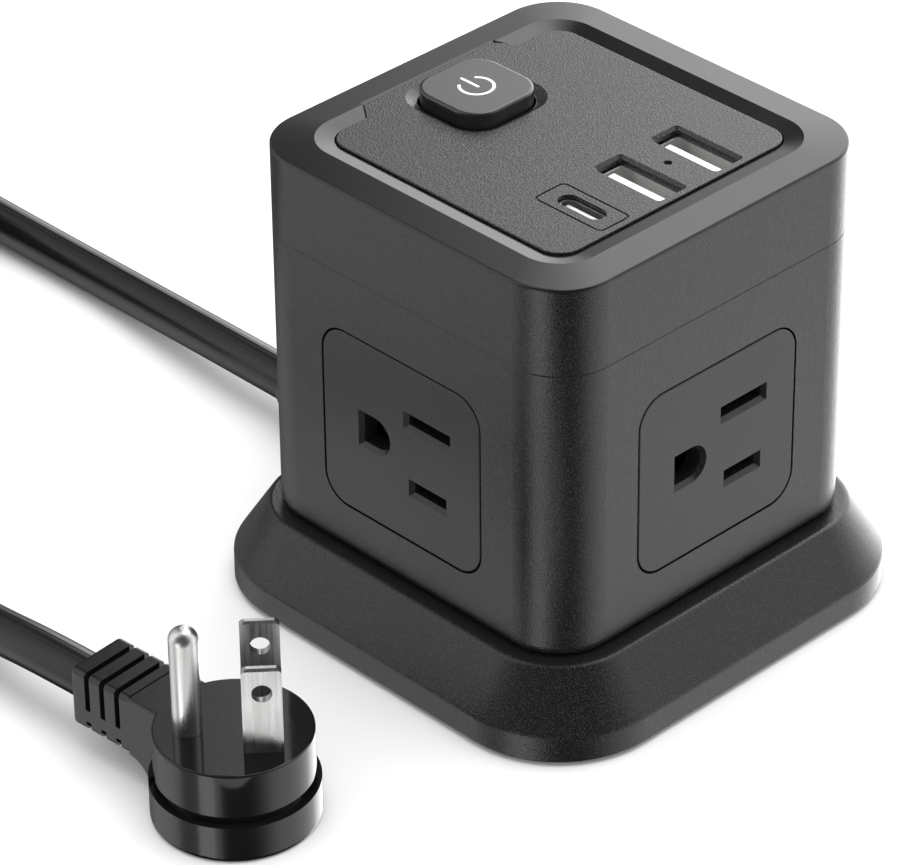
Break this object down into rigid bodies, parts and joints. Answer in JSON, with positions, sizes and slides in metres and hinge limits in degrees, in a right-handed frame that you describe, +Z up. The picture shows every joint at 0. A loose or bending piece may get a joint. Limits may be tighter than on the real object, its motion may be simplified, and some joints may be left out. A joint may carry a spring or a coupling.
{
  "type": "cube power strip",
  "caption": "Cube-shaped power strip with a grounded outlet on each side, USB ports and a push switch on top, a flared base and a corded flat plug.",
  "frame": {"origin": "middle of the plane that the rubber feet stand on", "axes": "+Z up, -Y the front outlet face, +X the right outlet face beside the USB ports, -X the side that the cord leaves"},
  "size_m": [0.2846, 0.1417, 0.087],
  "materials": {
    "housing_plastic": "fine-grained satin black ABS",
    "panel_plastic": "fine-grained satin black ABS",
    "outlet_plastic": "fine-grained satin black PC",
    "inner_plastic": "natural white flame-retardant PC",
    "button_plastic": "smooth satin black ABS",
    "switch_plastic": "black PBT",
    "rubber": "matt black silicone rubber",
    "cord_pvc": "glossy black PVC",
    "tie_fabric": "black hook-and-loop strap",
    "pin_nickel": "bright nickel plate on brass",
    "brass": "bare brass strip",
    "steel": "zinc-plated steel",
    "port_steel": "bright nickel-plated steel",
    "port_white": "white LCP",
    "board_green": "green solder mask",
    "transformer": "yellow tape over ferrite",
    "capacitor": "dark blue sleeve",
    "clear_acrylic": "clear acrylic",
    "led_white": "LED package",
    "wire_black": "black PVC insulation",
    "wire_white": "white PVC insulation",
    "wire_green": "green PVC insulation",
    "wire_red": "red PVC insulation"
  },
  "bodies": {
    "strip": {"base_screws": "steel", "base_skirt": "housing_plastic", "board_leads": "wire_red", "board_screws": "steel", "bottom_cover": "housing_plastic", "button_spring": "steel", "contact_carrier": "inner_plastic", "cord_coil": "cord_pvc", "cord_lead": "cord_pvc", "cord_strain_relief": "cord_pvc", "cord_tail": "cord_pvc", "cord_tie": "tie_fabric", "cover_screws": "steel", "filter_capacitors": "capacitor", "ground_bus": "brass", "ground_lead": "wire_green", "ground_pin": "pin_nickel", "housing_screws": "steel", "led_light_pipe": "clear_acrylic", "live_blade": "pin_nickel", "live_bus": "brass", "live_lead": "wire_black", "lower_housing": "housing_plastic", "neutral_blade": "pin_nickel", "neutral_bus": "brass", "neutral_lead": "wire_white", "outlet_face_back": "outlet_plastic", "outlet_face_front": "outlet_plastic", "outlet_face_left": "outlet_plastic", "outlet_face_right": "outlet_plastic", "panel_screws": "steel", "plug_lower": "cord_pvc", "plug_strain_relief": "cord_pvc", "plug_upper": "cord_pvc", "rubber_feet": "rubber", "status_led": "led_white", "switch_body": "switch_plastic", "switch_terminals": "brass", "switched_lead": "wire_red", "top_panel": "panel_plastic", "upper_housing": "housing_plastic", "usb_a_shell_front": "port_steel", "usb_a_shell_rear": "port_steel", "usb_a_tongue_front": "port_white", "usb_a_tongue_rear": "port_white", "usb_board": "board_green", "usb_c_shell": "port_steel", "usb_c_tongue": "port_steel", "usb_transformer": "transformer"},
    "button": {"power_button": "button_plastic", "switch_plunger": "inner_plastic"}
  },
  "joints": [
    {"name": "power_button_press", "type": "slide", "parent": "strip", "child": "button", "axis": [0, 0, -1], "range_m": [0, 0.0025], "stiffness_N_per_m": 400, "springref_m": -0.002, "deforming": ["button_spring"]}
  ]
}
